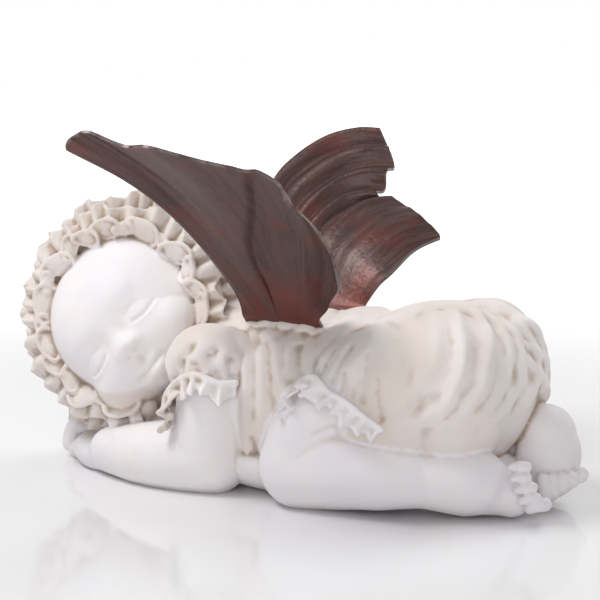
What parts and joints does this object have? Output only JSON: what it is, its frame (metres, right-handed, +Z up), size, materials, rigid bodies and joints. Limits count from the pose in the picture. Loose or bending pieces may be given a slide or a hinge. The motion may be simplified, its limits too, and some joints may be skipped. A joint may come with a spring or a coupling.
{
  "type": "sleeping winged child garden statue",
  "caption": "Cast figure of a sleeping child in a frilled bonnet and romper, lying prone with its cheek on its hands, with thin sheet-metal wings set in its back.",
  "frame": {"origin": "middle of the bounding box's underside, on the surface the figure lies on", "axes": "+X along the body from head to feet, -Y on the child's left side, where its face looks, +Z up"},
  "size_m": [0.2796, 0.2188, 0.1725],
  "materials": {
    "cast_stone": "matt off-white stone resin with a thin beige wash",
    "wing_patina": "dark bronze-brown patina with rust-red patches, satin"
  },
  "bodies": {
    "root": {"figure": "cast_stone", "left_wing": "wing_patina", "right_wing": "wing_patina"}
  },
  "joints": []
}
